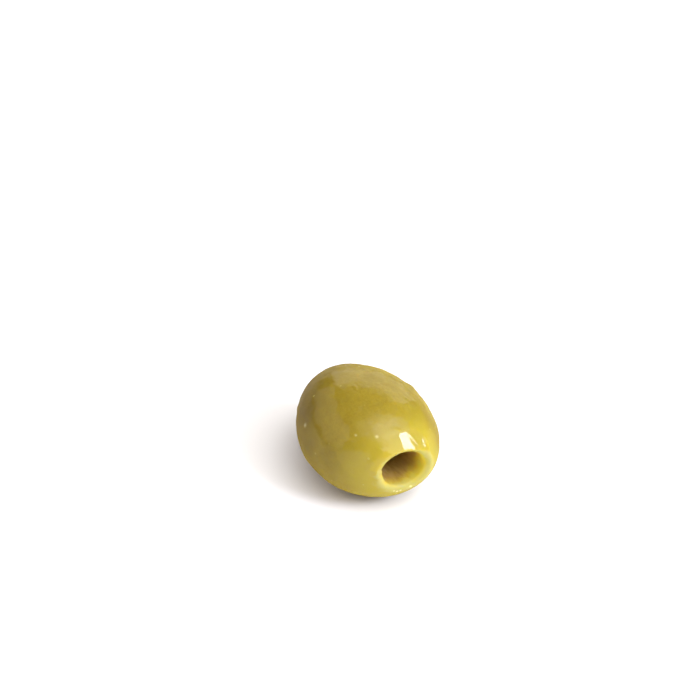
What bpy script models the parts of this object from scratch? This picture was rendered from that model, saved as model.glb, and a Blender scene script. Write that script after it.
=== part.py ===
"""A pitted green olive lying on its side, as one closed solid of skin and flesh.

The olive's own frame has its origin at the middle of the waist and its long axis along X. The
round hole that the stone was pushed out of is at +X, with a rolled lip. Behind it lies the
hollow that the stone left. At -X the tip ends in a soft nub, with the crossed cut of the
pitting knife beside it. The olive rests with its hole end raised a little, as its weight puts
it, on a small flat spot at z = 0, and the world's origin is below the middle of its box.
"""

import math

import bmesh
import bpy
from mathutils import Euler, Matrix, Vector

MM = 0.001

# the fruit along its long axis and across it
HOLE_HALF = 11.5 * MM  # from the waist to where the hole's end would close if it were whole
TIP_HALF = 12.6 * MM
HALF_ACROSS = 8.78 * MM  # the mean radius at the waist
HOLE_END_FULLNESS = 0.89  # under 1 is blunter than an ellipse
TIP_END_FULLNESS = 1.17  # over 1 is more pointed than an ellipse

# the section at the waist, which isn't round: an oval lying down, with three faint sides
OVAL = 0.072
OVAL_TURN = math.radians(10)
SIDES_SHARE = 0.010
SIDES_TURN = math.radians(25)

# how far each end's middle stands off the long axis, to +Y and +Z
HOLE_SHIFT = Vector((0.0, 0.1, -0.55)) * MM
TIP_SHIFT = Vector((0.0, 0.7, 0.35)) * MM
HOLE_LEAN = Vector((0.0, 0.186, 0.178))  # the slope of the hole's face towards +Y and +Z

# the hole, its lip and the stone's hollow
BORE_RADIUS = 3.05 * MM
LIP_RADIUS = 0.66 * MM
THROAT_LENGTH = 2.2 * MM
HOLLOW_RADIUS = 3.85 * MM
HOLLOW_WAIST = -0.6 * MM  # where along X the hollow is widest
HOLLOW_END = -8.6 * MM

# the nub at the tip
NUB_HEIGHT = 0.95 * MM
NUB_RADIUS = 1.35 * MM
NUB_BLUNTNESS = 2.8  # 2 is a soft point, and more is a rounder end

# the crossed cut beside the nub: two thin pointed blades sunk into the skin
CUT_FROM_NUB = 3.1 * MM
CUT_SIDE = math.radians(48)  # from +Y towards +Z, seen along X
CUT_TURN = math.radians(46)
CUT_CROSSING = math.radians(84)
LONG_BLADE = Vector((3.5, 0.24, 1.7)) * MM  # half its length, width and depth
WIDE_BLADE = Vector((2.9, 0.34, 1.9)) * MM

# how it lies
RAISED = math.radians(4)
FLAT_DEPTH = 0.15 * MM

# the mesh
TURNED_STEPS = 72
SKIN_STEPS = 38
SKIN_CROWDING = 1.6  # over 1 sets the skin's rings closer together towards the tip
LIP_STEPS = 7
THROAT_STEPS = 3
HOLLOW_STEPS = 8
BLADE_SEGMENTS = 24
BLADE_RINGS = 12
MERGE = 0.01 * MM
SHARPER_THAN = math.radians(50)  # an edge that turns by more than this isn't shaded round
HALVINGS = 60  # of a range that holds a sought angle

SKIN_COLOUR = (0.42, 0.32, 0.035, 1.0)
SKIN_ROUGHNESS = 0.22


def clear_scene():
    for thing in list(bpy.data.objects):
        bpy.data.objects.remove(thing, do_unlink=True)


def new_collection(name):
    made = bpy.data.collections.new(name)
    bpy.context.scene.collection.children.link(made)
    return made


def skin_material():
    made = bpy.data.materials.new("olive_skin")
    made.use_nodes = True
    shader = made.node_tree.nodes["Principled BSDF"]
    shader.inputs["Base Color"].default_value = SKIN_COLOUR
    shader.inputs["Roughness"].default_value = SKIN_ROUGHNESS
    shader.inputs["Metallic"].default_value = 0.0
    made.diffuse_color = SKIN_COLOUR
    return made


def skin_at(turn):
    """The skin's radius and place along X. turn is 0 at the hole's end and pi at the tip."""
    if turn < math.pi / 2:
        return HALF_ACROSS * math.sin(turn) ** HOLE_END_FULLNESS, HOLE_HALF * math.cos(turn)
    sine = max(math.sin(turn), 0.0)
    return HALF_ACROSS * sine**TIP_END_FULLNESS, TIP_HALF * math.cos(turn)


def skin_slant(turn):
    """The angle of the skin's outward direction, from X towards the radius."""
    step = 1e-4
    before = skin_at(turn - step)
    after = skin_at(turn + step)
    return math.atan2(before[1] - after[1], after[0] - before[0])


def lip_start():
    """The turn at which the lip's round leaves the skin, so that it ends on the bore's wall."""
    low = 0.05
    high = math.pi / 2
    for _ in range(HALVINGS):
        middle = (low + high) / 2
        centre_radius = skin_at(middle)[0] - LIP_RADIUS * math.sin(skin_slant(middle))
        if centre_radius < BORE_RADIUS + LIP_RADIUS:
            low = middle
        else:
            high = middle
    return (low + high) / 2


def lip_centre():
    turn = lip_start()
    radius, along = skin_at(turn)
    slant = skin_slant(turn)
    return radius - LIP_RADIUS * math.sin(slant), along - LIP_RADIUS * math.cos(slant)


def hollow_profile():
    """From the hollow's closed end on the axis to its widest place, then to the throat."""
    points = []
    for step in range(HOLLOW_STEPS):
        turn = math.pi / 2 * step / HOLLOW_STEPS
        along = HOLLOW_WAIST + (HOLLOW_END - HOLLOW_WAIST) * math.cos(turn)
        points.append((HOLLOW_RADIUS * math.sin(turn), along))
    throat_in = lip_centre()[1] - THROAT_LENGTH
    for step in range(HOLLOW_STEPS + 1):
        share = step / HOLLOW_STEPS
        narrowing = (1 - math.cos(math.pi * share)) / 2
        radius = HOLLOW_RADIUS + (BORE_RADIUS - HOLLOW_RADIUS) * narrowing
        points.append((radius, HOLLOW_WAIST + (throat_in - HOLLOW_WAIST) * share))
    return points


def lip_profile():
    """From the bore's wall over the lip to the skin."""
    radius, along = lip_centre()
    throat = [
        (BORE_RADIUS, along - THROAT_LENGTH * (1 - step / THROAT_STEPS))
        for step in range(1, THROAT_STEPS)
    ]
    from_angle = -math.pi / 2
    to_angle = skin_slant(lip_start())
    roll = []
    for step in range(LIP_STEPS + 1):
        angle = from_angle + (to_angle - from_angle) * step / LIP_STEPS
        over = (radius + LIP_RADIUS * math.sin(angle), along + LIP_RADIUS * math.cos(angle))
        roll.append(over)
    return throat + roll


def skin_profile():
    """From just past the lip round the outer side to the tip on the axis."""
    start = lip_start()
    points = []
    for step in range(1, SKIN_STEPS + 1):
        to_go = (1 - step / SKIN_STEPS) ** SKIN_CROWDING
        points.append(skin_at(math.pi - (math.pi - start) * to_go))
    return points


def turned_mesh():
    """The whole outline turned once round Z, hole end up, as an applied mesh."""
    outline = hollow_profile() + lip_profile() + skin_profile()
    mesh = bpy.data.meshes.new("olive_outline")
    points = [(radius, 0.0, along) for radius, along in outline]
    edges = [(i, i + 1) for i in range(len(points) - 1)]
    mesh.from_pydata(points, edges, [])
    profile = bpy.data.objects.new("olive_outline", mesh)
    bpy.context.scene.collection.objects.link(profile)
    screw = profile.modifiers.new("turn", "SCREW")
    screw.axis = "Z"
    screw.angle = 2 * math.pi
    screw.steps = TURNED_STEPS
    screw.render_steps = TURNED_STEPS
    screw.use_merge_vertices = True
    screw.merge_threshold = MERGE
    graph = bpy.context.evaluated_depsgraph_get()
    turned = bpy.data.meshes.new_from_object(profile.evaluated_get(graph))
    bpy.data.objects.remove(profile, do_unlink=True)
    bpy.data.meshes.remove(mesh)
    return turned


def grown(point):
    """Where a point of the turned shape lies in the real, slightly uneven fruit."""
    x, y, z = point
    radius = math.hypot(y, z)
    around = math.atan2(z, y)
    oval = OVAL * math.cos(2 * around + OVAL_TURN)
    sides = SIDES_SHARE * math.cos(3 * around - SIDES_TURN)
    swell = 1 + (radius / HALF_ACROSS) ** 2 * (oval + sides)
    to_hole = max(x / (lip_centre()[1] + LIP_RADIUS), 0.0) ** 2
    to_tip = max(-x / TIP_HALF, 0.0) ** 2
    shape = Vector((x, y * swell, z * swell))
    shape += to_hole * HOLE_SHIFT + to_tip * TIP_SHIFT
    shape.x += to_hole * HOLE_LEAN.dot(Vector((0.0, y, z)))
    if x < HOLLOW_END - NUB_RADIUS:
        shape.x -= NUB_HEIGHT * math.exp(-((radius / NUB_RADIUS) ** NUB_BLUNTNESS))
    return shape


def make_olive(collection):
    mesh = turned_mesh()
    mesh.name = "olive"
    mesh.transform(Matrix.Rotation(math.radians(90), 4, "Y"))
    for vertex in mesh.vertices:
        vertex.co = grown(vertex.co)
    olive = bpy.data.objects.new("olive", mesh)
    collection.objects.link(olive)
    mesh.materials.append(skin_material())
    return olive


def tip_skin(radius, around):
    """A point of the finished skin near the tip."""
    low = math.pi / 2
    high = math.pi
    for _ in range(HALVINGS):
        middle = (low + high) / 2
        if skin_at(middle)[0] > radius:
            low = middle
        else:
            high = middle
    along = skin_at(low)[1]
    return grown((along, radius * math.cos(around), radius * math.sin(around)))


def cut_frame():
    """The cut's place on the skin: its middle, the direction out of the skin and one along it."""
    step = 0.05 * MM
    middle = tip_skin(CUT_FROM_NUB, CUT_SIDE)
    down_skin = tip_skin(CUT_FROM_NUB + step, CUT_SIDE) - middle
    round_skin = tip_skin(CUT_FROM_NUB, CUT_SIDE + step / CUT_FROM_NUB) - middle
    outwards = down_skin.cross(round_skin).normalized()
    if outwards.x > 0:
        outwards.negate()
    return middle, outwards, down_skin.normalized()


def add_blade(name, half_size, turn, olive, collection):
    """Cuts a pointed, thin lens out of the skin."""
    middle, outwards, down_skin = cut_frame()
    along = Matrix.Rotation(turn, 3, outwards) @ down_skin
    across = outwards.cross(along)
    axes = Matrix((along * half_size.x, across * half_size.y, outwards * half_size.z)).transposed()
    mesh = bpy.data.meshes.new(name)
    shape = bmesh.new()
    bmesh.ops.create_uvsphere(
        shape, u_segments=BLADE_SEGMENTS, v_segments=BLADE_RINGS, radius=1.0
    )
    bmesh.ops.transform(shape, matrix=axes.to_4x4(), verts=shape.verts)
    bmesh.ops.recalc_face_normals(shape, faces=shape.faces)
    shape.to_mesh(mesh)
    shape.free()
    blade = bpy.data.objects.new(name, mesh)
    blade.location = middle
    collection.objects.link(blade)
    blade.parent = olive
    cut_from(olive, blade)


def cut_from(olive, cutter):
    cutter.hide_render = True
    cutter.display_type = "WIRE"
    cut = olive.modifiers.new(cutter.name, "BOOLEAN")
    cut.operation = "DIFFERENCE"
    cut.solver = "EXACT"
    cut.object = cutter


def lay_down(olive):
    """Tips the hole end up and sets the lowest skin just under the plane of rest."""
    turn = Euler((0.0, -RAISED, 0.0))
    corners = [turn.to_matrix() @ vertex.co for vertex in olive.data.vertices]
    lows = [min(corner[axis] for corner in corners) for axis in range(3)]
    highs = [max(corner[axis] for corner in corners) for axis in range(3)]
    olive.rotation_euler = turn
    olive.location = (
        -(lows[0] + highs[0]) / 2,
        -(lows[1] + highs[1]) / 2,
        -lows[2] - FLAT_DEPTH,
    )


def add_flat_spot(olive, collection):
    """Takes off what lies under z = 0, so that the olive has a small flat spot to rest on."""
    side = 4 * HALF_ACROSS
    bpy.ops.mesh.primitive_cube_add(size=side, location=(0.0, 0.0, -side / 2))
    below = bpy.context.object
    below.name = "below_rest"
    for holder in list(below.users_collection):
        holder.objects.unlink(below)
    collection.objects.link(below)
    cut_from(olive, below)


def shade_round(olive):
    olive.data.shade_smooth()
    olive.data.set_sharp_from_angle(angle=SHARPER_THAN)


def main():
    clear_scene()
    parts = new_collection("green_olive")
    cutters = new_collection("cutters")
    olive = make_olive(parts)
    shade_round(olive)
    lay_down(olive)
    add_blade("long_cut", LONG_BLADE, CUT_TURN, olive, cutters)
    add_blade("wide_cut", WIDE_BLADE, CUT_TURN + CUT_CROSSING, olive, cutters)
    add_flat_spot(olive, cutters)


main()
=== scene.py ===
"""The looks of a pitted green olive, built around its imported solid.

One finer surface stands for the solid. It has the solid's form and adds what is too fine for
it: the waves, dimples, warts and folds of the skin, the flat places that break up the highlight,
the nicked edge of the hole, the fibres of the wall inside and the parted lips of the cut.
Lengths in the first part are in millimetres, in the olive's own frame, whose long axis is X with
the hole at +X. Angles around the hole start at +Y and turn towards +Z.
"""

import math

import bmesh
import bpy
import numpy as np
from mathutils import Matrix, Vector, noise


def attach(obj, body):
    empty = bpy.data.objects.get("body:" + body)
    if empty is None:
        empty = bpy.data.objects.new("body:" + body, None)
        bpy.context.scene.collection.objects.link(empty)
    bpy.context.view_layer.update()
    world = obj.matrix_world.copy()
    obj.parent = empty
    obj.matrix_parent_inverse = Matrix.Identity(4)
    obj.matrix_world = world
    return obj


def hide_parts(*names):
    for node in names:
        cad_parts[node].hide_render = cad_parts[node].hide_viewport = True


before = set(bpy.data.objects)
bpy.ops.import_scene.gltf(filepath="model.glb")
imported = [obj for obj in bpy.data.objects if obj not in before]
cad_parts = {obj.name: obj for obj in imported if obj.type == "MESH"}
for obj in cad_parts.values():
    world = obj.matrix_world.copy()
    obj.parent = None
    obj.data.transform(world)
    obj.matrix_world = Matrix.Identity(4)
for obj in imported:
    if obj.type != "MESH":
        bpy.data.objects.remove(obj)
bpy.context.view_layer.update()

MM = 0.001

# the form, with the same values as the solid
HOLE_HALF = 11.5
TIP_HALF = 12.6
HALF_ACROSS = 8.78
HOLE_END_FULLNESS = 0.89
TIP_END_FULLNESS = 1.17
OVAL = 0.072
OVAL_TURN = math.radians(10)
SIDES_SHARE = 0.010
SIDES_TURN = math.radians(25)
HOLE_SHIFT = (0.0, 0.1, -0.55)
TIP_SHIFT = (0.0, 0.7, 0.35)
HOLE_LEAN = (0.0, 0.186, 0.178)
BORE_RADIUS = 3.05
LIP_RADIUS = 0.66
THROAT_LENGTH = 2.2
HOLLOW_RADIUS = 3.85
HOLLOW_WAIST = -0.6
HOLLOW_END = -8.6
NUB_HEIGHT = 0.95
NUB_RADIUS = 1.35
NUB_BLUNTNESS = 2.8
CUT_FROM_NUB = 3.1
CUT_SIDE = math.radians(48)
CUT_TURN = math.radians(46)
CUT_CROSSING = math.radians(84)
LONG_BLADE = (3.5, 0.24, 1.7)
WIDE_BLADE = (2.9, 0.34, 1.9)
RAISED = math.radians(4)
FLAT_DEPTH = 0.15

# the fineness of the surface
AROUND = 320
HOLLOW_RINGS = 56
THROAT_RINGS = 12
LIP_RINGS = 16
SKIN_RINGS = 196
SKIN_CROWDING = 1.25
FINE_SIDE = math.radians(110)  # the side of the olive that the photograph shows is meshed finer
FINE_SHARE = 0.3
BLADE_SEGMENTS = 64
HALVINGS = 60

# the relief of the skin and of the wall inside; each noise is read at a place of its own
WAVE_HEIGHT = 0.08
WAVE_LENGTH = 3.4
DIMPLE_HEIGHT = 0.034
DIMPLE_LENGTH = 1.5
DIMPLE_PLACE = 50.0
WALL_HEIGHT = 0.10
WALL_LENGTH = 0.8
WALL_STRETCH = 2.2
WALL_PLACE = 90.0
WALL_FADE = (-1.6, -0.5)  # the wall's relief ends over this way past the crest of the lip
SKIN_FADE = (0.0, 1.0)  # and the skin's starts over this one

# how far the hole's edge lies out of a true circle, by the angle around it in degrees
EDGE_MOVES = (
    (30, 0.0), (75, 0.18), (100, 0.38), (122, 0.48), (140, 0.56), (155, 0.60), (165, 0.62),
    (171, 0.26), (178, 0.32), (186, 0.05), (215, 0.0),
)
# how far out over the skin that move fades away, by the same angle, and how far into the hole
EDGE_WIDTHS = ((0, 1.1), (105, 1.1), (128, 2.4), (170, 2.4), (200, 1.1), (360, 1.1))
INNER_WIDTH = 1.1
EDGE_FADE = (0.36, 1.27)  # the shares of the width over which the move's last part is taken off
# nicks in the edge, deeper on the near side, where it was cut straight and sharp
NICK_DEPTH = 0.14
NICK_WIDTH = 0.45
NICK_LENGTH = 1.5
NICK_CIRCLE = 9  # the noise of the nicks is read around a circle of this radius
FAR_NICKS = 0.35
NEAR_EDGE = math.radians(122)
NEAR_EDGE_WIDTH = math.radians(42)
AXIS_CLEARANCE = 0.5  # nothing nearer to the axis is moved

# how deep the pale flesh reaches into the hole, by the same angle
PALE_DEPTHS = (
    (0, 1.5), (30, 1.4), (60, 0.9), (160, 0.9), (175, 0.2), (200, 0.1), (230, 0.4), (270, 1.0),
    (315, 1.4), (340, 1.5), (360, 1.5),
)
# how deep it starts, and how quickly it ends outside the crest
PALE_STARTS = ((0, 0.0), (40, 0.0), (65, 0.8), (160, 0.9), (172, 0.1), (180, 0.0), (360, 0.0))
PALE_ENDS = (
    (0, 1.3), (40, 2.0), (60, 6.0), (165, 6.0), (176, 1.3), (230, 1.0), (330, 1.0), (360, 1.3),
)
# painted light: how much lighter the flesh is painted inside the hole, standing in for light
# shining through it, and the way over which that ends
PAINTED_GLOW_FLESH = ((0, 1.0), (50, 1.0), (80, 0.3), (110, 0.0), (260, 0.0), (310, 0.5), (360, 1.0))
PAINTED_GLOW_FADE = (-1.1, -0.2)
# how much sooner the yellow skin around the hole ends; it ends soonest on the +Y side, as painted
# shade of that rim
YELLOW_AND_SHADE_ENDS = (
    (0, 2.0), (20, 2.2), (33, 1.6), (46, 0.9), (60, 0.9), (80, 1.0), (300, 1.0), (330, 1.4),
    (360, 2.0),
)

# flat places in the skin: a point on it, the direction out of it and how deep it is pressed in
FACETS = (
    ((10.62, 0.70, 4.32), (0.797, -0.032, 0.603), 0.20),
    ((10.58, 1.05, 4.18), (0.780, 0.124, 0.613), 0.060),
    ((10.61, 0.12, 4.09), (0.781, -0.171, 0.601), 0.02),
    ((11.15, 0.70, 3.40), (0.869, -0.072, 0.490), 0.055),
)
FACET_EDGE = 0.018  # the rounding of its border
FACET_REACH = 4.0
FACET_START = -0.6  # it reaches over the crest into the hole by this way
# small warts and specks: a point on the skin, the height, the width and how pale the middle is;
# the pale middles on the lower lip are painted glints
WARTS_AND_GLINTS = (
    ((-0.04, 7.82, 4.52), 0.16, 0.75, 0.0),
    ((-7.90, -6.29, 1.90), 0.08, 0.40, 0.2),
    ((6.40, -5.24, 5.20), 0.03, 0.14, 0.5),
    ((8.40, -3.05, 5.23), 0.04, 0.18, 0.6),
    ((-1.89, -8.53, 3.30), 0.05, 0.26, 0.4),
    # the four on the lower lip: their pale middles are painted glints
    ((9.62, -0.86, -4.35), 0.07, 0.16, 1.0),
    ((9.76, -0.37, -4.29), 0.06, 0.13, 1.0),
    ((9.62, -1.35, -4.07), 0.05, 0.12, 0.7),
    ((10.10, 1.11, -3.98), 0.07, 0.14, 1.0),
)
# fine folds in the skin: the two ends, the height and the width
FOLDS = (
    ((9.60, 1.15, 5.27), (11.35, 2.38, 2.85), 0.030, 0.20),
    ((10.35, 3.44, 3.90), (11.60, 3.42, 1.55), 0.22, 0.32),
    ((8.74, -0.73, 5.82), (9.51, 0.45, 5.36), 0.05, 0.22),
    ((-0.59, -1.21, 8.11), (0.93, -1.55, 8.07), 0.07, 0.20),
    ((3.96, 4.21, 6.69), (4.83, 4.01, 6.58), 0.08, 0.22),
    ((-4.19, 2.36, 7.34), (-3.60, 3.20, 7.20), 0.07, 0.24),
    ((-3.08, 3.43, 7.22), (-2.47, 3.97, 7.10), 0.07, 0.24),
)
FOLD_ENDS = 0.3  # the share of its length over which each end sinks away

# the arms of the cut, the skin pushed up beside them, and the blades' uneven width and bend
BLADES = (
    ("long_cut", CUT_TURN, LONG_BLADE),
    ("wide_cut", CUT_TURN + CUT_CROSSING, WIDE_BLADE),
)
CUT_LIP_HEIGHT = 0.08
CUT_LIP_WIDTH = 0.30
CUT_LIP_ENDS = (0.5, 0.9)
CUT_LIP_REACH = 2.5
BLADE_UNEVENNESS = 0.35
UNEVENNESS_STEPS = 2.6
BLADE_BEND = 0.16
BEND_STEPS = 1.7
BEND_PLACE = 5.0

# the colours of the skin
GREEN = (0.215, 0.157, 0.016, 1)
LIGHT_GREEN = (0.265, 0.195, 0.021, 1)
# painted shade: the dark colour laid over the side of the skin that is turned away from the
# lights
PAINTED_SIDE_SHADE = (0.103, 0.068, 0.009, 1)
MOTTLE = (0.189, 0.125, 0.011, 1)
GRAIN = (0.162, 0.112, 0.009, 1)
YELLOW = (0.404, 0.324, 0.034, 1)
PORE = (0.449, 0.387, 0.099, 1)
TIP_BROWN = (0.215, 0.139, 0.020, 1)
# the pale colour of lenticels, also used for painted glints on the lower lip
SPOT_AND_GLINT = (0.78, 0.73, 0.38, 1)
PAINTED_SHADE_WAY = (0.60, 0.35, 0.0)  # painted shade: the skin is darker against this way, in world coordinates
# the colours of the flesh, plain and with painted light, where the flesh inside the hole is
# painted lighter
PALE_FLESH = ((0.387, 0.347, 0.092, 1), (0.740, 0.636, 0.052, 1))
OCHRE_FLESH = ((0.449, 0.340, 0.042, 1), (0.757, 0.550, 0.052, 1))
# partly the flesh's own brown and partly painted shade, darker deeper down the hole
BROWN_AND_SHADED_FLESH = ((0.334, 0.204, 0.052, 1), (0.504, 0.315, 0.080, 1))
CUT_FLESH = ((0.085, 0.042, 0.010, 1), (0.17, 0.095, 0.018, 1))
FLOOR_COLOUR = (0.81, 0.79, 0.775, 1)

# the noises of the materials: the waves in a millimetre, the detail and the roughness
BROAD = (0.16, 2.0)
MOTTLES = (1.3, 5.0, 0.65)
GRAINS = (2.8, 3.0, 0.7)
FLESH_BORDER = (0.7, 3.0)
SHEEN = (0.8, 3.0)
FINE_RELIEF = (2.4, 4.0, 0.6)
FIBRES = (2.2, 4.0, 0.6)
PORES_PER_MM = 0.40
PORE_EDGE = (0.10, 0.05)
PORE_HEIGHT = 0.8
# relief that is finer than the mesh: its strength, and its depth in millimetres
SKIN_BUMP = (0.42, 0.05)
FILM_BUMP = (0.15, 0.05)
CUT_BUMP = (0.6, 0.06)
# the share of the light that goes into the flesh, and how far, in millimetres
SKIN_GLOW = (0.85, 2.6)
CUT_GLOW = (0.2, 0.8)

# the photograph's viewpoint and frame, in metres
VIEW_AZIMUTH = math.radians(58.6)
VIEW_ELEVATION = math.radians(38)
VIEW_DISTANCE = 0.60
FRAME_WIDTH = 0.0995
FRAME_CENTRE = (-0.00163, 0.01715)  # right and up of the world's origin, seen by the camera
SENSOR = 36.0
NEAREST = 0.05
FARTHEST = 10.0

# the floor, the surround and the lights, in metres
FLOOR_RADIUS = 0.6
FLOOR_SIDES = 128
HORIZON = (1.0, 1.0, 1.0, 1)
OVERHEAD = (0.070, 0.065, 0.064, 1)
HORIZON_FADE = (0.04, 0.12)  # the one turns into the other over these sines of the height
AIM_HEIGHT = 0.008
WHITE = (1.0, 1.0, 1.0)
# each light's angle to the right of the camera and its height, both in degrees, its distance,
# width and height, brightness, tint, and the shares over which its sides, foot and head fade
SOFTBOXES = (
    ("main_box", 46, 61, 0.80, (1.80, 1.68), 5.4, WHITE, (0.5, 0.5, 0.5)),
    ("back_box", 174, 21, 0.60, (0.54, 0.46), 2.5, WHITE, (0.02, 0.02, 0.4)),
    ("left_box", -97, 30, 0.60, (1.24, 0.42), 1.2, (1.0, 0.90, 0.87), None),
    ("key_box", 57, 37, 0.60, (0.23, 0.23), 26.0, (0.93, 0.96, 1.15), (0.25, 0.25, 0.25)),
)


def smooth(low, high, value):
    """0 at low and under it, 1 at high and over it, with an even start and end."""
    share = np.clip((value - low) / (high - low), 0.0, 1.0)
    return share * share * (3 - 2 * share)


# the outline

def skin_at(turn):
    """The skin's radius and place along X. turn is 0 at the hole's end and pi at the tip."""
    sine = np.clip(np.sin(turn), 0.0, 1.0)
    to_hole = np.asarray(turn) < math.pi / 2
    fullness = np.where(to_hole, HOLE_END_FULLNESS, TIP_END_FULLNESS)
    half = np.where(to_hole, HOLE_HALF, TIP_HALF)
    return HALF_ACROSS * sine**fullness, half * np.cos(turn)


def skin_slant(turn):
    """The angle of the skin's outward direction, from X towards the radius."""
    step = 1e-4
    before = skin_at(turn - step)
    after = skin_at(turn + step)
    return math.atan2(before[1] - after[1], after[0] - before[0])


def find_lip():
    """The turn at which the lip's round leaves the skin, and the middle of that round."""
    low = 0.05
    high = math.pi / 2
    for _ in range(HALVINGS):
        turn = (low + high) / 2
        radius, along = skin_at(turn)
        slant = skin_slant(turn)
        middle = radius - LIP_RADIUS * math.sin(slant)
        if middle < BORE_RADIUS + LIP_RADIUS:
            low = turn
        else:
            high = turn
    return turn, float(middle), float(along - LIP_RADIUS * math.cos(slant))


LIP_TURN, LIP_MIDDLE, LIP_ALONG = find_lip()


def outline():
    """Radius and place along X from the hollow's closed end, over the lip, to the tip."""
    turn = np.linspace(0, math.pi / 2, HOLLOW_RINGS // 2, endpoint=False)
    closed_radius = HOLLOW_RADIUS * np.sin(turn)
    closed_along = HOLLOW_WAIST + (HOLLOW_END - HOLLOW_WAIST) * np.cos(turn)
    throat_in = LIP_ALONG - THROAT_LENGTH
    share = np.linspace(0, 1, HOLLOW_RINGS // 2, endpoint=False)
    narrowing = (1 - np.cos(math.pi * share)) / 2
    open_radius = HOLLOW_RADIUS + (BORE_RADIUS - HOLLOW_RADIUS) * narrowing
    open_along = HOLLOW_WAIST + (throat_in - HOLLOW_WAIST) * share
    throat_along = np.linspace(throat_in, LIP_ALONG, THROAT_RINGS, endpoint=False)
    throat_radius = np.full(THROAT_RINGS, BORE_RADIUS)
    angle = np.linspace(-math.pi / 2, skin_slant(LIP_TURN), LIP_RINGS)
    lip_radius = LIP_MIDDLE + LIP_RADIUS * np.sin(angle)
    lip_along = LIP_ALONG + LIP_RADIUS * np.cos(angle)
    to_go = (1 - np.arange(1, SKIN_RINGS + 1) / SKIN_RINGS) ** SKIN_CROWDING
    skin_radius, skin_along = skin_at(math.pi - (math.pi - LIP_TURN) * to_go)
    radius = np.concatenate([closed_radius, open_radius, throat_radius, lip_radius, skin_radius])
    along = np.concatenate([closed_along, open_along, throat_along, lip_along, skin_along])
    return radius, along


def past_crest(radius, along):
    """Each ring's way along the outline from the lip's crest, under 0 in the hole."""
    steps = np.hypot(np.diff(radius), np.diff(along))
    way = np.concatenate([[0.0], np.cumsum(steps)])
    return way - way[np.argmax(along)]


def grown(points):
    """Where points of the turned shape lie in the real, slightly uneven fruit."""
    x, y, z = points[..., 0], points[..., 1], points[..., 2]
    radius = np.hypot(y, z)
    around = np.arctan2(z, y)
    oval = OVAL * np.cos(2 * around + OVAL_TURN)
    sides = SIDES_SHARE * np.cos(3 * around - SIDES_TURN)
    swell = 1 + (radius / HALF_ACROSS) ** 2 * (oval + sides)
    to_hole = np.maximum(x / (LIP_ALONG + LIP_RADIUS), 0.0) ** 2
    to_tip = np.maximum(-x / TIP_HALF, 0.0) ** 2
    shape = np.stack([x, y * swell, z * swell], axis=-1)
    shape = shape + to_hole[..., None] * HOLE_SHIFT + to_tip[..., None] * TIP_SHIFT
    shape[..., 0] += to_hole * (HOLE_LEAN[1] * y + HOLE_LEAN[2] * z)
    nub = NUB_HEIGHT * np.exp(-((radius / NUB_RADIUS) ** NUB_BLUNTNESS))
    shape[..., 0] -= np.where(x < HOLLOW_END - NUB_RADIUS, nub, 0.0)
    return shape


# the finer relief

def noise_at(points, length, octaves, stretch=1.0):
    """Even noise from about -1 to 1, stretched along X. Each octave is half of the last."""
    scaled = points.reshape(-1, 3) / length
    scaled[:, 0] /= stretch
    values = [noise.fractal(Vector(point), 1.0, 2.0, octaves) for point in scaled]
    return np.array(values).reshape(points.shape[:-1])


def normals_of(points):
    """Directions out of the surface of a grid whose second way closes on itself."""
    along = np.gradient(points, axis=0)
    around = np.roll(points, -1, axis=1) - np.roll(points, 1, axis=1)
    across = np.cross(along, around)
    length = np.linalg.norm(across, axis=-1, keepdims=True)
    return across / np.maximum(length, 1e-9)


def by_angle(table, around):
    """A table's value at angles around the hole. The table's angles are in degrees."""
    turns, values = np.array(table).T
    return np.interp(np.degrees(around) % 360, turns, values)


def worked_rim(points, way):
    """The hole's edge: straight and nicked on the near side, wide and soft across from it."""
    y, z = points[..., 1], points[..., 2]
    radius = np.hypot(y, z)
    around = np.arctan2(z, y)
    off_near = np.abs((around - NEAR_EDGE + math.pi) % (2 * math.pi) - math.pi)
    near = np.exp(-((off_near / NEAR_EDGE_WIDTH) ** 2))
    circle = (np.cos(around) * NICK_CIRCLE, np.sin(around) * NICK_CIRCLE, way / NICK_LENGTH)
    nicks = noise_at(np.stack(circle, axis=-1), 1.0, 2)
    share = way / np.where(way > 0, by_angle(EDGE_WIDTHS, around), INNER_WIDTH)
    reach = np.exp(-(share**2)) * (1 - smooth(*EDGE_FADE, share))
    move = reach * by_angle(EDGE_MOVES, around)
    move += NICK_DEPTH * nicks * np.exp(-((way / NICK_WIDTH) ** 2)) * (FAR_NICKS + near)
    grown_by = (radius + move) / np.maximum(radius, AXIS_CLEARANCE)
    factor = np.where(radius > AXIS_CLEARANCE, grown_by, 1.0)
    worked = points.copy()
    worked[..., 1] *= factor
    worked[..., 2] *= factor
    return worked


def tip_skin(radius, around):
    """A point of the finished skin near the tip."""
    low = math.pi / 2
    high = math.pi
    for _ in range(HALVINGS):
        middle = (low + high) / 2
        if skin_at(middle)[0] > radius:
            low = middle
        else:
            high = middle
    along = float(skin_at(low)[1])
    point = np.array([along, radius * math.cos(around), radius * math.sin(around)])
    return Vector(grown(point))


def cut_frame():
    """The cut's middle on the skin, the direction out of the skin and one along it."""
    step = 0.05
    middle = tip_skin(CUT_FROM_NUB, CUT_SIDE)
    down_skin = tip_skin(CUT_FROM_NUB + step, CUT_SIDE) - middle
    round_skin = tip_skin(CUT_FROM_NUB, CUT_SIDE + step / CUT_FROM_NUB) - middle
    outwards = down_skin.cross(round_skin).normalized()
    if outwards.x > 0:
        outwards.negate()
    return middle, outwards, down_skin.normalized()


def blade_axes(turn):
    """The cut's middle, and the directions along, across and out of one of its arms."""
    middle, outwards, down_skin = cut_frame()
    along = Matrix.Rotation(turn, 3, outwards) @ down_skin
    return middle, along, outwards.cross(along), outwards


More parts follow.
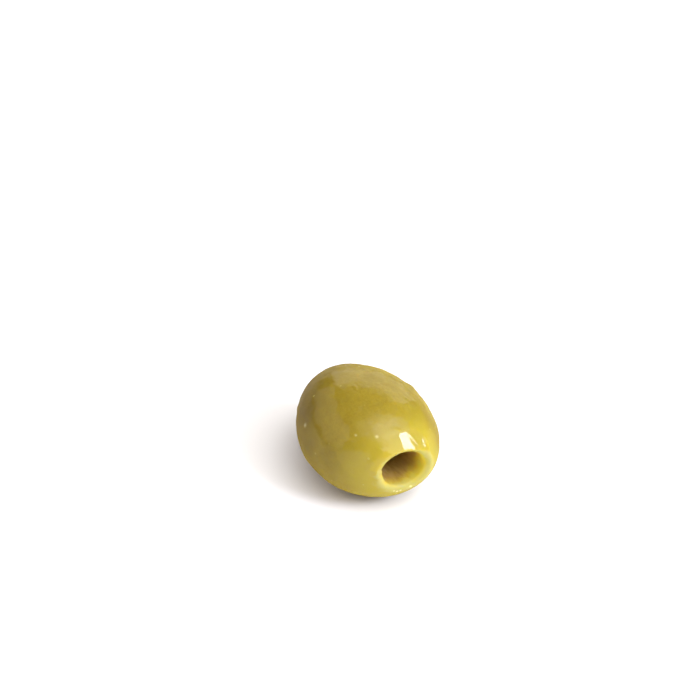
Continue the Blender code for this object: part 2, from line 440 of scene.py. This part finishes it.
def cut_lips(points):
    """The shape of the skin that is pushed up beside the two arms of the cut, from 0 to 1."""
    raised = np.zeros(points.shape[:-1])
    for _, turn, half_size in BLADES:
        middle, along, across, outwards = blade_axes(turn)
        offset = points - np.array(middle)
        beside = np.abs(offset @ np.array(across)) - half_size[1]
        length = np.abs(offset @ np.array(along)) / half_size[0]
        deep = np.abs(offset @ np.array(outwards))
        lip = np.exp(-((beside / CUT_LIP_WIDTH) ** 2)) * (1 - smooth(*CUT_LIP_ENDS, length))
        raised = np.maximum(raised, lip * (deep < CUT_LIP_REACH))
    return raised


def warts_and_glints_at(points):
    """How far the warts raise the skin, and how pale it is there: pale lenticels, and painted
    glints on the lower lip.
    """
    raised = np.zeros(points.shape[:-1])
    pale = np.zeros(points.shape[:-1])
    for middle, height, width, paleness in WARTS_AND_GLINTS:
        off = np.linalg.norm(points - np.array(middle), axis=-1)
        share = np.exp(-((off / width) ** 2))
        raised += height * share
        pale = np.maximum(pale, paleness * share)
    return raised, pale


def relief(points, way):
    """How far the surface stands out of the smooth form."""
    waves = WAVE_HEIGHT * noise_at(points, WAVE_LENGTH, 2)
    dimples = DIMPLE_HEIGHT * noise_at(points + DIMPLE_PLACE, DIMPLE_LENGTH, 3)
    wall = WALL_HEIGHT * noise_at(points + WALL_PLACE, WALL_LENGTH, 3, WALL_STRETCH)
    lips = CUT_LIP_HEIGHT * cut_lips(points)
    warts, _ = warts_and_glints_at(points)
    outside = smooth(*SKIN_FADE, way)
    inside = 1 - smooth(*WALL_FADE, way)
    return outside * (waves + dimples + lips + warts) + inside * wall


def pressed_flat(points, way):
    """The surface with its flat places pressed in, each with a quick rounding at its edge."""
    for middle, outwards, depth in FACETS:
        out = np.array(outwards) / np.linalg.norm(outwards)
        above = (points - np.array(middle)) @ out + depth
        proud = FACET_EDGE * np.logaddexp(0.0, above / FACET_EDGE)
        near = np.linalg.norm(points - np.array(middle), axis=-1) < FACET_REACH
        points = points - np.where(near & (way > FACET_START), proud, 0.0)[..., None] * out
    return points


def folds_at(points):
    """How far the fine folds raise the skin. Each sinks away at its ends."""
    raised = np.zeros(points.shape[:-1])
    for start, end, height, width in FOLDS:
        first = np.array(start)
        along = np.array(end) - first
        share = np.clip((points - first) @ along / (along @ along), 0.0, 1.0)
        off = np.linalg.norm(points - first - share[..., None] * along, axis=-1)
        ends = smooth(0.0, FOLD_ENDS, share) * (1 - smooth(1 - FOLD_ENDS, 1.0, share))
        raised += height * ends * np.exp(-((off / width) ** 2))
    return raised


# the mesh

def tipped(points):
    """Points turned so that the hole end is up, as at rest."""
    turn = np.array(Matrix.Rotation(-RAISED, 3, "Y"))
    return points @ turn.T


def rest_place(turned):
    """The move to the world's middle, with the lowest skin just under the plane of rest."""
    level = tipped(grown(turned)).reshape(-1, 3)
    lows = level.min(axis=0)
    highs = level.max(axis=0)
    return np.array([-(lows[0] + highs[0]) / 2, -(lows[1] + highs[1]) / 2, -lows[2] - FLAT_DEPTH])


def surface_grid():
    """The rings of points at rest, in millimetres, what the materials read, and the move."""
    radius, along = outline()
    around = np.linspace(0, 2 * math.pi, AROUND, endpoint=False)
    around = around - FINE_SHARE * np.sin(around - FINE_SIDE)
    turned = np.stack(
        [
            np.repeat(along[:, None], AROUND, axis=1),
            radius[:, None] * np.cos(around),
            radius[:, None] * np.sin(around),
        ],
        axis=-1,
    )
    ways = np.repeat(past_crest(radius, along)[:, None], AROUND, axis=1)
    place = rest_place(turned)
    worked = grown(worked_rim(turned, ways))
    shaped = worked + normals_of(worked) * relief(worked, ways)[..., None]
    shaped = pressed_flat(shaped, ways)
    shaped = shaped + normals_of(shaped) * folds_at(shaped)[..., None]
    pale_ends = np.where(ways > 0, by_angle(PALE_ENDS, around), 1.0)
    marks = {
        "past_crest": ways,
        "pale_lip": -ways * pale_ends - by_angle(PALE_STARTS, around),
        "flesh_depth": -ways - by_angle(PALE_DEPTHS, around),
        # painted light: where the flesh inside the hole is painted lighter
        "painted_glow_flesh": by_angle(PAINTED_GLOW_FLESH, around) * (1 - smooth(*PAINTED_GLOW_FADE, ways)),
        # pale lenticels, and painted glints on the lower lip
        "pale_spot_and_glint": warts_and_glints_at(worked)[1],
        # the yellow's way, made shorter on the +Y side as painted shade
        "yellow_and_shade_way": ways * by_angle(YELLOW_AND_SHADE_ENDS, around),
    }
    return tipped(shaped) + place, marks, place


def grid_faces(rings):
    """Quads between rings, with a fan of triangles at each end, where the ring is one point."""
    faces = []
    first_ring = 1
    for ring in range(rings - 3):
        low = first_ring + ring * AROUND
        for i in range(AROUND):
            j = (i + 1) % AROUND
            faces.append((low + i, low + j, low + AROUND + j, low + AROUND + i))
    last = first_ring + (rings - 3) * AROUND
    tip = last + AROUND
    for i in range(AROUND):
        j = (i + 1) % AROUND
        faces.append((0, first_ring + j, first_ring + i))
        faces.append((last + i, last + j, tip))
    return faces


def in_one_row(grid):
    """A grid's values as the mesh has them, with one point at each end."""
    inner = grid[1:-1].reshape(-1, *grid.shape[2:])
    return np.concatenate([grid[:1, 0], inner, grid[-1:, 0]])


def make_flesh():
    """The whole surface before the cut, and the move that set it at rest."""
    grid, marks, place = surface_grid()
    points = in_one_row(grid)
    points[:, 2] = np.maximum(points[:, 2], 0.0)
    mesh = bpy.data.meshes.new("olive_flesh")
    mesh.from_pydata((points * MM).tolist(), [], grid_faces(len(grid)))
    for name, values in marks.items():
        mark = mesh.attributes.new(name, "FLOAT", "POINT")
        mark.data.foreach_set("value", in_one_row(values).astype(np.float32))
    work = bmesh.new()
    work.from_mesh(mesh)
    bmesh.ops.recalc_face_normals(work, faces=work.faces)
    work.to_mesh(mesh)
    work.free()
    mesh.shade_smooth()
    flesh = bpy.data.objects.new("olive_flesh", mesh)
    bpy.context.scene.collection.objects.link(flesh)
    return flesh, place


def add_blade(name, turn, half_size, place, material):
    """A thin pointed lens, uneven in width, that cuts one arm out of the skin."""
    middle, along, across, outwards = blade_axes(turn)
    mesh = bpy.data.meshes.new(name)
    shape = bmesh.new()
    bmesh.ops.create_uvsphere(
        shape, u_segments=BLADE_SEGMENTS, v_segments=BLADE_SEGMENTS // 2, radius=1.0
    )
    for vertex in shape.verts:
        x, y, z = vertex.co
        wide = 1 + BLADE_UNEVENNESS * noise.noise(Vector((x * UNEVENNESS_STEPS, turn, 0.0)))
        bend = BLADE_BEND * noise.noise(Vector((x * BEND_STEPS, BEND_PLACE, turn)))
        spot = middle + along * (x * half_size[0])
        spot = spot + across * (y * half_size[1] * wide + bend)
        spot = spot + outwards * (z * half_size[2])
        vertex.co = Vector(tipped(np.array(spot)) + place) * MM
    bmesh.ops.recalc_face_normals(shape, faces=shape.faces)
    shape.to_mesh(mesh)
    shape.free()
    mesh.materials.append(material)
    blade = bpy.data.objects.new(name, mesh)
    bpy.context.scene.collection.objects.link(blade)
    return blade


def cut_open(flesh, blades):
    """Takes the blades out of the surface. Its new walls keep the blades' material."""
    for blade in blades:
        cut = flesh.modifiers.new(blade.name, "BOOLEAN")
        cut.operation = "DIFFERENCE"
        cut.solver = "EXACT"
        cut.material_mode = "TRANSFER"
        cut.object = blade
    graph = bpy.context.evaluated_depsgraph_get()
    finished = bpy.data.meshes.new_from_object(flesh.evaluated_get(graph))
    flesh.modifiers.clear()
    flesh.data = finished
    for blade in blades:
        bpy.data.objects.remove(blade, do_unlink=True)


# the materials

def new_material(name):
    made = bpy.data.materials.new(name)
    made.use_nodes = True
    return made, made.node_tree, made.node_tree.nodes["Principled BSDF"]


def add_node(tree, kind, **settings):
    made = tree.nodes.new(kind)
    for name, value in settings.items():
        setattr(made, name, value)
    return made


def plug(tree, socket, value):
    """Links a node's input to an output, or sets its own value."""
    if isinstance(value, bpy.types.NodeSocket):
        tree.links.new(value, socket)
    else:
        socket.default_value = value


def feed(tree, node, **inputs):
    """Sets or links a node's inputs by name, with _ for a space."""
    for name, value in inputs.items():
        plug(tree, node.inputs[name.replace("_", " ")], value)


def noise_value(tree, place, per_mm, detail, roughness=0.5):
    made = add_node(tree, "ShaderNodeTexNoise")
    feed(tree, made, Vector=place, Scale=per_mm / MM, Detail=detail, Roughness=roughness)
    return made.outputs["Fac"]


def in_range(tree, value, low, high, to_low=0.0, to_high=1.0):
    """to_low at low and before it, to_high at high and past it, with an even start and end."""
    made = add_node(tree, "ShaderNodeMapRange", interpolation_type="SMOOTHSTEP")
    feed(tree, made, Value=value, From_Min=low, From_Max=high, To_Min=to_low, To_Max=to_high)
    return made.outputs["Result"]


def mixed(tree, share, first, second):
    """One colour turning into another. The node's colours are its inputs 6 and 7."""
    made = add_node(tree, "ShaderNodeMix", data_type="RGBA")
    for index, value in ((0, share), (6, first), (7, second)):
        plug(tree, made.inputs[index], value)
    return made.outputs[2]


def math_value(tree, operation, first, second):
    made = add_node(tree, "ShaderNodeMath", operation=operation)
    plug(tree, made.inputs[0], first)
    plug(tree, made.inputs[1], second)
    return made.outputs[0]


def vertex_value(tree, name):
    return add_node(tree, "ShaderNodeAttribute", attribute_name=name).outputs["Fac"]


def object_place(tree):
    return add_node(tree, "ShaderNodeTexCoord").outputs["Object"]


def bumped(tree, height, strength, depth):
    """A direction tilted by relief that is finer than the mesh. depth is in millimetres."""
    bump = add_node(tree, "ShaderNodeBump")
    feed(tree, bump, Strength=strength, Distance=depth * MM, Height=height)
    return bump.outputs["Normal"]


def wet_flesh(tree, shader, weight, scale):
    """Light goes a little way into the flesh, and a film of brine covers it."""
    feed(tree, shader, IOR=1.42, Specular_IOR_Level=0.0)
    feed(tree, shader, Subsurface_Weight=weight, Subsurface_Scale=scale * MM)
    feed(tree, shader, Subsurface_Radius=(1.0, 0.72, 0.14))
    feed(tree, shader, Coat_Weight=0.13, Coat_IOR=2.4, Coat_Roughness=0.02)


def skin_colour(tree, place, pore):
    """Green skin, darker on one side by painted shade, browner at the tip, and yellow around the
    hole, which ends sooner on the +Y side as painted shade.

    Each layer covers the ones before it by a share that follows a noise, or a way in millimetres.
    """
    broad = noise_value(tree, place, *BROAD)
    colour = mixed(tree, in_range(tree, broad, 0.3, 0.7), GREEN, LIGHT_GREEN)
    lean = add_node(tree, "ShaderNodeVectorMath", operation="DOT_PRODUCT")
    feed(tree, lean, Vector=place)
    lean.inputs[1].default_value = tuple(-share / MM for share in PAINTED_SHADE_WAY)
    uneven = in_range(tree, broad, 0.2, 0.8, -2.0, 2.0)
    shade = math_value(tree, "ADD", lean.outputs["Value"], uneven)
    mottle = noise_value(tree, place, *MOTTLES)
    grain = noise_value(tree, place, *GRAINS)
    yellow_and_shade_way = vertex_value(tree, "yellow_and_shade_way")
    way = vertex_value(tree, "past_crest")
    layers = (
        # painted shade darkening one side of the skin
        (in_range(tree, shade, 0.0, 7.0, 0.0, 0.92), PAINTED_SIDE_SHADE),
        (in_range(tree, mottle, 0.42, 0.72, 0.0, 0.30), MOTTLE),
        (in_range(tree, grain, 0.35, 0.65, 0.0, 0.24), GRAIN),
        # yellow around the hole, cut short on the +Y side as painted shade
        (in_range(tree, yellow_and_shade_way, 8.5, 0.3, 0.0, 0.85), YELLOW),
        (math_value(tree, "MULTIPLY", pore, 0.40), PORE),
        (in_range(tree, way, 24.5, 28.5, 0.0, 0.5), TIP_BROWN),
    )
    for share, layer in layers:
        colour = mixed(tree, share, colour, layer)
    return colour


def with_flesh(tree, place, colour):
    """The skin's colour turning pale over the lip, then ochre and brown down the hole, the brown
    partly painted shade; painted light makes the flesh lighter on one side of the hole, and pale
    spots add lenticels and painted glints.

    Each layer's share follows a depth in millimetres, made uneven by a noise.
    """
    uneven = in_range(tree, noise_value(tree, place, *FLESH_BORDER), 0.3, 0.7, -0.35, 0.35)
    depth = math_value(tree, "ADD", vertex_value(tree, "flesh_depth"), uneven)
    lip = math_value(tree, "ADD", vertex_value(tree, "pale_lip"), uneven)
    # painted light: the flesh painted lighter on one side of the hole, for light shining through
    # it
    painted_glow = vertex_value(tree, "painted_glow_flesh")
    layers = (
        (in_range(tree, lip, -1.4, 0.1), PALE_FLESH),
        (in_range(tree, depth, -0.3, 1.1), OCHRE_FLESH),
        # browner deeper down the hole: partly the flesh's own colour, partly painted shade
        (in_range(tree, depth, 0.4, 2.4), BROWN_AND_SHADED_FLESH),
    )
    for share, (plain, brighter) in layers:
        colour = mixed(tree, share, colour, mixed(tree, painted_glow, plain, brighter))
    # pale lenticels, and painted glints on the lower lip
    return mixed(tree, vertex_value(tree, "pale_spot_and_glint"), colour, SPOT_AND_GLINT)


def skin_material():
    made, tree, shader = new_material("olive_wet_skin")
    place = object_place(tree)
    pores = add_node(tree, "ShaderNodeTexVoronoi", feature="F1")
    feed(tree, pores, Vector=place, Scale=PORES_PER_MM / MM, Randomness=1.0)
    pore = in_range(tree, pores.outputs["Distance"], *PORE_EDGE)
    colour = with_flesh(tree, place, skin_colour(tree, place, pore))
    rough = in_range(tree, noise_value(tree, place, *SHEEN), 0.3, 0.7, 0.30, 0.44)
    feed(tree, shader, Base_Color=colour, Roughness=rough)
    raised_pore = math_value(tree, "MULTIPLY", pore, PORE_HEIGHT)
    height = math_value(tree, "ADD", noise_value(tree, place, *FINE_RELIEF), raised_pore)
    feed(tree, shader, Normal=bumped(tree, height, *SKIN_BUMP))
    feed(tree, shader, Coat_Normal=bumped(tree, height, *FILM_BUMP))
    wet_flesh(tree, shader, *SKIN_GLOW)
    return made


def cut_material():
    made, tree, shader = new_material("olive_cut_flesh")
    fibres = noise_value(tree, object_place(tree), *FIBRES)
    fibres = in_range(tree, fibres, 0.35, 0.7)
    feed(tree, shader, Base_Color=mixed(tree, fibres, *CUT_FLESH), Roughness=0.45)
    feed(tree, shader, Normal=bumped(tree, fibres, *CUT_BUMP))
    wet_flesh(tree, shader, *CUT_GLOW)
    return made


def floor_material():
    made, tree, shader = new_material("pale_floor")
    feed(tree, shader, Base_Color=FLOOR_COLOUR, Roughness=0.8)
    return made


# the surroundings

def camera_axes():
    sin_a, cos_a = math.sin(VIEW_AZIMUTH), math.cos(VIEW_AZIMUTH)
    sin_e, cos_e = math.sin(VIEW_ELEVATION), math.cos(VIEW_ELEVATION)
    back = Vector((sin_a * cos_e, -cos_a * cos_e, sin_e))
    right = Vector((cos_a, sin_a, 0.0))
    up = Vector((-sin_e * sin_a, sin_e * cos_a, cos_e))
    return back, right, up


def add_camera():
    back, right, up = camera_axes()
    data = bpy.data.cameras.new("camera")
    data.sensor_width = SENSOR
    data.lens = SENSOR * VIEW_DISTANCE / FRAME_WIDTH
    data.clip_start = NEAREST
    data.clip_end = FARTHEST
    camera = bpy.data.objects.new("camera", data)
    camera.rotation_euler = back.to_track_quat("Z", "Y").to_euler()
    camera.location = right * FRAME_CENTRE[0] + up * FRAME_CENTRE[1] + back * VIEW_DISTANCE
    bpy.context.scene.collection.objects.link(camera)
    bpy.context.scene.camera = camera


def add_floor():
    bpy.ops.mesh.primitive_circle_add(
        vertices=FLOOR_SIDES, radius=FLOOR_RADIUS, fill_type="NGON"
    )
    floor = bpy.context.object
    floor.name = "floor"
    floor.data.materials.append(floor_material())


def soften(data, sides, foot, head):
    """Fades a light towards its edges, over the given shares of its width and height."""
    data.use_nodes = True
    tree = data.node_tree
    across = add_node(tree, "ShaderNodeSeparateXYZ")
    feed(tree, across, Vector=add_node(tree, "ShaderNodeNewGeometry").outputs["Parametric"])
    strength = 1.0
    for name, start, end in (
        ("X", 0.0, sides), ("X", 1.0, 1 - sides), ("Y", 0.0, foot), ("Y", 1.0, 1 - head),
    ):
        fade = in_range(tree, across.outputs[name], start, end)
        strength = math_value(tree, "MULTIPLY", fade, strength)
    feed(tree, tree.nodes["Emission"], Strength=strength)


def add_softbox(name, azimuth, height, distance, size, brightness, tint, fades):
    """A flat light turned to the olive."""
    turn = VIEW_AZIMUTH + math.radians(azimuth)
    rise = math.radians(height)
    level = math.cos(rise)
    way = Vector((math.sin(turn) * level, -math.cos(turn) * level, math.sin(rise)))
    data = bpy.data.lights.new(name, "AREA")
    data.shape = "RECTANGLE"
    data.size, data.size_y = size
    data.energy = brightness * math.pi * size[0] * size[1]
    data.color = tint
    if fades:
        soften(data, *fades)
    light = bpy.data.objects.new(name, data)
    light.location = way * distance + Vector((0.0, 0.0, AIM_HEIGHT))
    light.rotation_euler = way.to_track_quat("Z", "Y").to_euler()
    light.visible_camera = False
    bpy.context.scene.collection.objects.link(light)


def add_surround():
    """A studio that is white down at the horizon and dim above."""
    world = bpy.data.worlds.new("studio")
    world.use_nodes = True
    tree = world.node_tree
    way = add_node(tree, "ShaderNodeSeparateXYZ")
    feed(tree, way, Vector=add_node(tree, "ShaderNodeTexCoord").outputs["Generated"])
    over_floor = in_range(tree, way.outputs["Z"], *HORIZON_FADE)
    feed(tree, tree.nodes["Background"], Color=mixed(tree, over_floor, HORIZON, OVERHEAD))
    bpy.context.scene.world = world


bpy.context.scene.view_settings.view_transform = "Standard"
flesh, place = make_flesh()
flesh.data.materials.append(skin_material())
cut_flesh = cut_material()
cut_open(flesh, [add_blade(*blade, place, cut_flesh) for blade in BLADES])
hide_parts("olive")
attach(flesh, "root")
add_floor()
for softbox in SOFTBOXES:
    add_softbox(*softbox)
add_surround()
add_camera()
